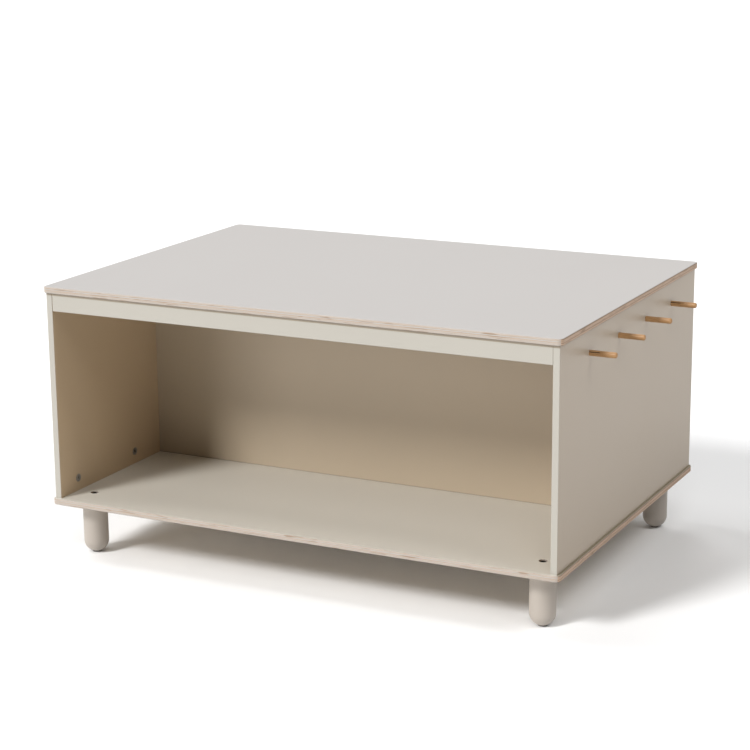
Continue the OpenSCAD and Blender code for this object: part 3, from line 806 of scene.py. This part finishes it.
def cam_frames(group):
    """Frames of a panel's cams, each with its origin in the middle of the cam's face."""
    frames = []
    bolts = joint_frames(group + "_cam_bolts")
    for low, high in solids(group + "_cams"):
        middle = (low + high) / 2
        bolt = min(bolts, key=lambda joint: (joint.translation - middle).length)
        into = bolt.to_3x3().col[2]
        if group == "left_panel":
            out = Vector((1, 0, 0))
        elif group == "right_panel":
            out = Vector((-1, 0, 0))
        else:
            out = Vector((0, -1 if group == "rail" and middle.y > 0 else 1, 0))
        half = abs((high - low).dot(out)) / 2
        frames.append(frame_of(middle + out * half, out, into))
    return frames


def grow(name, frames, group_name, settings, replaced=()):
    """Runs a geometry node group on a point at each frame, and keeps the result as a plain mesh."""
    points = bpy.data.meshes.new(name)
    points.from_pydata([place.translation for place in frames], [], [])
    turns = points.attributes.new("turn", "FLOAT_VECTOR", "POINT")
    turns.data.foreach_set("vector", [turn for place in frames for turn in place.to_euler()])
    piece = bpy.data.objects.new(name, points)
    group = bpy.data.node_groups[group_name]
    modifier = piece.modifiers.new(group_name, "NODES")
    modifier.node_group = group
    sockets = {item.name: item.identifier for item in group.interface.items_tree if item.in_out == "INPUT"}
    for key, value in settings.items():
        modifier[sockets[key]] = value
    bpy.context.scene.collection.objects.link(piece)
    plain = bpy.data.meshes.new_from_object(piece.evaluated_get(bpy.context.evaluated_depsgraph_get()))
    piece.modifiers.clear()
    piece.data = plain
    bpy.data.meshes.remove(points)
    plain.name = name
    plain.materials.clear()
    plain.materials.append(settings["Material"])
    plain.shade_smooth()
    plain.set_sharp_from_angle(angle=SMOOTH_UNDER)
    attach(piece, BODY)
    if replaced:
        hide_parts(*replaced)


# Thread round a body: radius of its core, depth and pitch, the heights that it runs between, and the
# points in a turn.
Thread = namedtuple("Thread", "core depth pitch first last points")


def grow_threaded(node, frames, body, thread, material):
    """Replaces a node by a turned body with a thread wound round it, at each frame."""
    settings = {
        "Body": body,
        "Core Radius": thread.core,
        "Depth": thread.depth,
        "Pitch": thread.pitch,
        "Start": thread.first + thread.depth,
        "Length": thread.last - thread.first - 2 * thread.depth,
        "Points in a Turn": thread.points,
        "Material": material,
    }
    grow("threaded_" + node, frames, "Threaded fitting", settings, [node])


HEXAGON = "hexagon"


def turned(name, outline, segments=24, ring=False):
    """A hidden body turned round Z from points of (radius, height) or (width, height, HEXAGON).
    It starts and ends on the axis, unless it is a ring."""
    mesh = bmesh.new()
    rows = []
    for radius, height, *shape in outline:
        if radius == 0:
            rows.append([mesh.verts.new((0, 0, height))] * segments)
            continue
        row = []
        for i in range(segments):
            turn = 2 * math.pi * i / segments
            reach = radius
            if shape:
                off_flat = (turn + math.pi / 6) % (math.pi / 3) - math.pi / 6
                reach = radius / 2 / math.cos(off_flat)
            row.append(mesh.verts.new((reach * math.cos(turn), reach * math.sin(turn), height)))
        rows.append(row)
    pairs = list(zip(rows, rows[1:])) + ([(rows[-1], rows[0])] if ring else [])
    for lower, upper in pairs:
        for i in range(segments):
            corners = [lower[i - 1], lower[i], upper[i], upper[i - 1]]
            mesh.faces.new(list(dict.fromkeys(corners)))
    bmesh.ops.recalc_face_normals(mesh, faces=mesh.faces)
    data = bpy.data.meshes.new(name)
    mesh.to_mesh(data)
    mesh.free()
    return bpy.data.objects.new(name, data)


def arc(middle_z, radius, first, last, steps=8):
    """Points of (radius, height) on an arc round a place on the axis, between two angles in radians."""
    turns = [first + (last - first) * i / steps for i in range(steps + 1)]
    return [(radius * math.cos(turn), middle_z + radius * math.sin(turn)) for turn in turns]


def make_cam_bolts(sizes, zinc):
    """Cam bolts: a coarse thread, a collar on the board at Z = 0, a shaft and a neck with a round head."""
    node = CAM_GROUPS[0] + "_cam_bolts"
    low, high = solids(node)[0]
    board = joint_frames(node)[0].translation.z
    thread_l = board - low.z
    collar = (high.x - low.x) / 2
    ball = sizes.cam_bolt_ball / 2
    ball_z = high.z - board - ball
    shaft = sizes.cam_bolt_shaft / 2
    neck = sizes.cam_bolt_neck / 2
    depth = sizes.cam_bolt_depth
    core = sizes.cam_bolt_thread / 2 - depth
    shaft_end = ball_z - sizes.cam_bolt_neck_l
    ease = 0.3 * MM
    *round_head, (_, ball_top) = arc(ball_z, ball, -math.acos(neck / ball), math.pi / 2)
    outline = [
        (0, -thread_l),
        (core - 2 * ease, -thread_l),
        (core, -thread_l + 2 * ease),
        (core, 0),
        (collar - ease, 0),
        (collar, ease),
        (collar, sizes.cam_bolt_collar - ease),
        (collar - ease, sizes.cam_bolt_collar),
        (shaft, sizes.cam_bolt_collar),
        (shaft, shaft_end - ease),
        (shaft - ease, shaft_end),
        (neck, shaft_end),
        *round_head,
        (0, ball_top),
    ]
    body = turned("cam_bolt_body", outline)
    thread = Thread(core, depth, sizes.cam_bolt_pitch, first=-thread_l, last=0, points=20)
    for group in CAM_GROUPS:
        node = group + "_cam_bolts"
        grow_threaded(node, joint_frames(node), body, thread, zinc)
    bpy.data.objects.remove(body)


def make_leg_bolts(sizes, steel):
    """Button-head bolts: a domed head with a hexagon socket, and a thread up to just under it."""
    boxes = solids("leg_bolts")
    low, high = boxes[0]
    rim = (high.x - low.x) / 2
    head = sizes.leg_bolt_head
    crown = sizes.leg_bolt_crown / 2
    shank_l = high.z - low.z - head
    plain_l = sizes.leg_bolt_plain
    major = sizes.leg_bolt_thread / 2
    depth = sizes.leg_bolt_depth
    core = major - depth
    ease = 0.4 * MM
    # The dome runs from the head's rim to the edge of its crown.
    dome_z = (crown * crown + head * head - rim * rim) / (2 * head)
    dome_r = math.hypot(rim, dome_z)
    dome_ends = math.atan2(ease - dome_z, rim), math.atan2(head - dome_z, crown)
    socket = sizes.leg_bolt_socket
    outline = [
        (0, -shank_l),
        (core - ease, -shank_l),
        (core, -shank_l + ease),
        (core, -plain_l - ease),
        (major, -plain_l),
        (major, 0),
        (rim - ease, 0),
        *arc(dome_z, dome_r, *dome_ends),
        (socket + ease, head, HEXAGON),
        (socket, head - ease / 2, HEXAGON),
        (socket, head - sizes.leg_bolt_socket_depth, HEXAGON),
        (0, head - sizes.leg_bolt_socket_depth - ease),
    ]
    body = turned("leg_bolt_body", outline, segments=48)
    frames = [frame_at_foot(box, shank_l) for box in boxes]
    thread = Thread(core, depth, sizes.leg_bolt_pitch, first=-shank_l, last=-plain_l, points=32)
    grow_threaded("leg_bolts", frames, body, thread, steel)
    bpy.data.objects.remove(body)


def make_leg_inserts(sizes, zinc):
    """Threaded inserts: a tube with a coarse thread round it, driven in flush with the top of the leg."""
    boxes = solids("leg_inserts")
    low, high = boxes[0]
    tall = high.z - low.z
    depth = sizes.insert_depth
    core = (high.x - low.x) / 2 - depth
    bore = sizes.leg_bolt_thread / 2
    ease = 0.5 * MM
    outline = [
        (bore, 0),
        (core - ease, 0),
        (core, ease),
        (core, tall - ease),
        (core - ease, tall),
        (bore + ease, tall),
        (bore, tall - ease),
    ]
    body = turned("leg_insert_body", outline, segments=32, ring=True)
    frames = [frame_at_foot(box, 0) for box in boxes]
    thread = Thread(core, depth, sizes.insert_pitch, first=0, last=tall, points=32)
    grow_threaded("leg_inserts", frames, body, thread, zinc)
    bpy.data.objects.remove(body)


# ---- Operators ---------------------------------------------------------------------------------


class PLAYTABLE_OT_boards(bpy.types.Operator):
    """Finish the plywood cores and laminates of the top and floor boards"""

    bl_idname = "play_table.boards"
    bl_label = "Boards"

    def execute(self, context):
        finish = context.scene.play_table_boards
        for node in ("top_plate", "floor_plate"):
            dress([node], ply_material(node + "_ply", node, finish))
        film = Film(
            finish.laminate_grain, finish.laminate_relief, finish.laminate_drift, finish.laminate_roughness
        )
        top = film_material("pressed_top_laminate", finish.top_laminate, film)
        inner = film_material("pressed_inner_laminate", finish.inner_laminate, film)
        backing = film_material("pressed_backing_laminate", finish.backing, film)
        cut_edge = facing_away("Z", most=0.9)
        # The strip of floor laminate outside the right panel gets painted shade.
        outside = between("X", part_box("right_side_panel")[1].x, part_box("floor_laminate")[1].x)
        lay_tones(top, (finish.laminate_rim, cut_edge))
        lay_tones(inner, (finish.margin, outside), (finish.laminate_rim, cut_edge))
        lay_tones(backing, (finish.backing_rim, cut_edge))
        dress(["top_laminate"], top)
        dress(["floor_laminate"], inner)
        dress(["top_backing_laminate", "floor_backing_laminate"], backing)
        return {"FINISHED"}


class PLAYTABLE_OT_carcass(bpy.types.Operator):
    """Paint the side panels, the divider and the rails, in a warmer tone inside than outside"""

    bl_idname = "play_table.carcass"
    bl_label = "Carcass"

    def execute(self, context):
        finish = context.scene.play_table_paint
        rails = paint_material("rail_paint", finish.edge, finish)
        divider = paint_material("divider_paint", finish.divider, finish)
        panels = paint_material("side_panel_paint", finish.outer, finish)
        rail_top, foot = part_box("front_rail")[1].z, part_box("divider")[0].z
        # Painted shadow under the overhang of the top, and painted shade along the foot of the divider.
        under_top = between("Z", rail_top - finish.rail_shadow, rail_top)
        at_foot = between("Z", foot, foot + finish.foot_shadow)
        inside = between("X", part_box("left_side_panel")[1].x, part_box("right_side_panel")[0].x)
        front_or_rear = facing("Y", least=0.5)
        lay_tones(rails, (finish.seam, under_top))
        lay_tones(divider, (finish.seam, at_foot))
        lay_tones(
            panels,
            (finish.inner, inside),
            (finish.edge, front_or_rear),
            (finish.seam, both(front_or_rear, under_top)),
        )
        dress(["front_rail", "rear_rail"], rails)
        dress(["divider"], divider)
        dress(["left_side_panel", "right_side_panel"], panels)
        return {"FINISHED"}


class PLAYTABLE_OT_legs(bpy.types.Operator):
    """Paint the legs and colour their glides"""

    bl_idname = "play_table.legs"
    bl_label = "Legs"

    def execute(self, context):
        finish = context.scene.play_table_paint
        nylon = context.scene.play_table_fittings.nylon
        places = ("front_left", "front_right", "rear_left", "rear_right")
        dress(["leg_" + place for place in places], paint_material("leg_paint", finish.leg, finish))
        dress(["glide_" + place for place in places], film_material("moulded_nylon", nylon, MOULDED_NYLON))
        return {"FINISHED"}


class PLAYTABLE_OT_pegs(bpy.types.Operator):
    """Finish the hanging pegs in oiled wood"""

    bl_idname = "play_table.pegs"
    bl_label = "Pegs"

    def execute(self, context):
        finish = context.scene.play_table_wood
        wood = wood_material("oiled_peg_wood", finish.peg_light, finish.peg_dark, finish.grain)
        pegs = sorted(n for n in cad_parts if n.startswith("peg_"))
        # Painted shade: the saw cut and the flat end of each peg are laid over in near black.
        lay_over(wood, finish.kerf_shade, inside_pegs(pegs, finish.kerf_edge))
        dress(pegs, wood)
        return {"FINISHED"}


class PLAYTABLE_OT_cams(bpy.types.Operator):
    """Finish the cams in zinc, with a raised rim and an arrow on each face"""

    bl_idname = "play_table.cams"
    bl_label = "Cams"

    def execute(self, context):
        sizes = context.scene.play_table_fittings
        zinc = film_material("cast_zinc", sizes.zinc, CAST_ZINC, Metallic=1.0)
        for group in CAM_GROUPS:
            node = group + "_cams"
            dress([node], zinc)
            low, high = solids(node)[0]
            settings = {
                "Cam Radius": (high.z - low.z) / 2,
                "Rim Width": sizes.rim_width,
                "Arrow": sizes.mark_size,
                "Height": sizes.mark_height,
                "Material": zinc,
            }
            grow("marks_on_" + node, cam_frames(group), "Cam marks", settings)
        return {"FINISHED"}


class PLAYTABLE_OT_cam_bolts(bpy.types.Operator):
    """Make the cam bolts, with their coarse thread, collar, neck and ball"""

    bl_idname = "play_table.cam_bolts"
    bl_label = "Cam Bolts"

    def execute(self, context):
        make_cam_bolts(context.scene.play_table_fittings, bpy.data.materials["cast_zinc"])
        return {"FINISHED"}


class PLAYTABLE_OT_leg_bolts(bpy.types.Operator):
    """Make the button-head bolts and the threaded inserts that hold the legs"""

    bl_idname = "play_table.leg_bolts"
    bl_label = "Leg Bolts"

    def execute(self, context):
        sizes = context.scene.play_table_fittings
        steel = film_material("blackened_steel", sizes.steel, BLACKENED_STEEL, Metallic=1.0)
        make_leg_bolts(sizes, steel)
        make_leg_inserts(sizes, bpy.data.materials["cast_zinc"])
        return {"FINISHED"}


class PLAYTABLE_OT_dowels(bpy.types.Operator):
    """Make the fluted beech dowels that locate the panels"""

    bl_idname = "play_table.dowels"
    bl_label = "Dowels"

    def execute(self, context):
        finish = context.scene.play_table_wood
        beech = wood_material("dowel_beech", finish.dowel_light, finish.dowel_dark, finish.grain)
        for node in sorted(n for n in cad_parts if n.endswith("_dowels")):
            low, high = solids(node)[0]
            frames = joint_frames(node)
            origin, axis = frames[0].translation, frames[0].to_3x3().col[2]
            settings = {
                "Start": min((corner - origin).dot(axis) for corner in (low, high)),
                "Length": max(high - low),
                "Radius": min(high - low) / 2,
                "Chamfer": finish.chamfer,
                "Flutes": finish.flutes,
                "Flute Depth": finish.flute_depth,
                "Material": beech,
            }
            grow("fluted_" + node, frames, "Fluted dowel", settings, [node])
        return {"FINISHED"}


class PLAYTABLE_OT_studio(bpy.types.Operator):
    """Lay the studio floor, hang the lights and place the camera"""

    bl_idname = "play_table.studio"
    bl_label = "Studio"

    def execute(self, context):
        scene = context.scene
        settings = scene.play_table_studio
        scene.view_settings.view_transform = "Standard"
        lay_floor(scene, settings)
        hang_lights(scene, settings)
        place_camera(scene, settings)
        return {"FINISHED"}


# ---- Studio ------------------------------------------------------------------------------------

# Soft lamps far away: azimuth from the front towards the left, height and width in degrees, and strength.
LAMPS = {
    "key": (26, 38, 14, 0.84),
    "front_low": (30, 8, 25, 0.26),
    "left_high": (90, 52, 25, 0.25),
    "back_left": (150, 52, 25, 0.23),
    "right_high": (270, 52, 25, 0.32),
    "front_right": (330, 52, 25, 0.23),
}


def lay_floor(scene, settings):
    """A flat pale floor that reaches past every edge of the picture. From below it doesn't show."""
    half = settings.floor_size / 2
    corners = [(-half, -half, 0), (half, -half, 0), (half, half, 0), (-half, half, 0)]
    mesh = bpy.data.meshes.new("studio_floor")
    mesh.from_pydata(corners, [], [(0, 1, 2, 3)])
    floor = bpy.data.objects.new("studio_floor", mesh)
    scene.collection.objects.link(floor)
    inputs = {"Base Color": opaque(settings.floor), "Roughness": 0.9}
    material, tree, shader = new_material("studio_floor", inputs)
    from_below = add_node(tree, "ShaderNodeNewGeometry").outputs["Backfacing"]
    tree.links.new(maths(tree, "SUBTRACT", 1.0, from_below), shader.inputs["Alpha"])
    mesh.materials.append(material)


def hang_lights(scene, settings):
    """A dim room with a white backdrop, a key lamp in front on the left, and weaker lamps all round."""
    world = bpy.data.worlds.new("studio_room")
    world.use_nodes = True
    tree = world.node_tree
    ray = add_node(tree, "ShaderNodeLightPath").outputs
    lit = maths(tree, "MULTIPLY_ADD", ray["Is Glossy Ray"], settings.reflection, settings.room_light)
    strength = maths(tree, "MAXIMUM", ray["Is Camera Ray"], lit)
    background = tree.nodes["Background"].inputs
    background["Color"].default_value = (1.0, 1.0, 1.0, 1.0)
    tree.links.new(strength, background["Strength"])
    scene.world = world
    for name, (azimuth, height, width, strength) in LAMPS.items():
        light = bpy.data.lights.new(name, "SUN")
        light.energy = math.pi * strength * settings.light
        light.angle = math.radians(width)
        lamp = bpy.data.objects.new(name, light)
        lamp.rotation_euler = (math.radians(90 - height), 0.0, math.radians(-azimuth))
        scene.collection.objects.link(lamp)


def place_camera(scene, settings):
    """The camera stands in front on the right and looks down at the table's middle."""
    camera = bpy.data.cameras.new("camera")
    camera.sensor_width = 36.0
    camera.lens = settings.lens
    camera.clip_end = 200.0
    holder = bpy.data.objects.new("camera", camera)
    turn = (
        Matrix.Rotation(settings.azimuth, 4, "Z")
        @ Matrix.Rotation(math.pi / 2 - settings.pitch, 4, "X")
        @ Matrix.Rotation(-settings.roll, 4, "Z")
    )
    place = Vector((settings.camera_x, -settings.camera_y, settings.camera_z))
    holder.matrix_world = Matrix.Translation(place) @ turn
    scene.collection.objects.link(holder)
    scene.camera = holder


# ---- Panel and registration ----------------------------------------------------------------------

OPERATORS = (
    PLAYTABLE_OT_boards,
    PLAYTABLE_OT_carcass,
    PLAYTABLE_OT_legs,
    PLAYTABLE_OT_pegs,
    PLAYTABLE_OT_cams,
    PLAYTABLE_OT_cam_bolts,
    PLAYTABLE_OT_leg_bolts,
    PLAYTABLE_OT_dowels,
    PLAYTABLE_OT_studio,
)
SETTINGS = {
    "play_table_boards": BoardFinish,
    "play_table_paint": PaintFinish,
    "play_table_wood": WoodFinish,
    "play_table_fittings": FittingFinish,
    "play_table_studio": StudioSettings,
}


class PLAYTABLE_PT_sidebar(bpy.types.Panel):
    """Lists the steps that finish the table."""

    bl_idname = "PLAYTABLE_PT_sidebar"
    bl_label = "Play Table"
    bl_space_type = "VIEW_3D"
    bl_region_type = "UI"
    bl_category = "Play Table"

    def draw(self, context):
        for operator in OPERATORS:
            self.layout.operator(operator.bl_idname)


def register():
    """Registers the properties, the operators and the panel."""
    for name, group in SETTINGS.items():
        bpy.utils.register_class(group)
        setattr(bpy.types.Scene, name, PointerProperty(type=group))
    for item in (*OPERATORS, PLAYTABLE_PT_sidebar):
        bpy.utils.register_class(item)


def unregister():
    """Takes all of them away again."""
    for item in reversed((*OPERATORS, PLAYTABLE_PT_sidebar)):
        bpy.utils.unregister_class(item)
    for name, group in SETTINGS.items():
        delattr(bpy.types.Scene, name)
        bpy.utils.unregister_class(group)


def main():
    """Builds everything in order."""
    register()
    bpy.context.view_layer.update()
    build_film_group()
    build_grain_group()
    build_ply_group()
    build_thread_group()
    build_dowel_group()
    build_mark_group()
    bpy.ops.play_table.boards()
    bpy.ops.play_table.carcass()
    bpy.ops.play_table.legs()
    bpy.ops.play_table.pegs()
    bpy.ops.play_table.cams()
    bpy.ops.play_table.cam_bolts()
    bpy.ops.play_table.leg_bolts()
    bpy.ops.play_table.dowels()
    bpy.ops.play_table.studio()


if __name__ == "__main__":
    main()
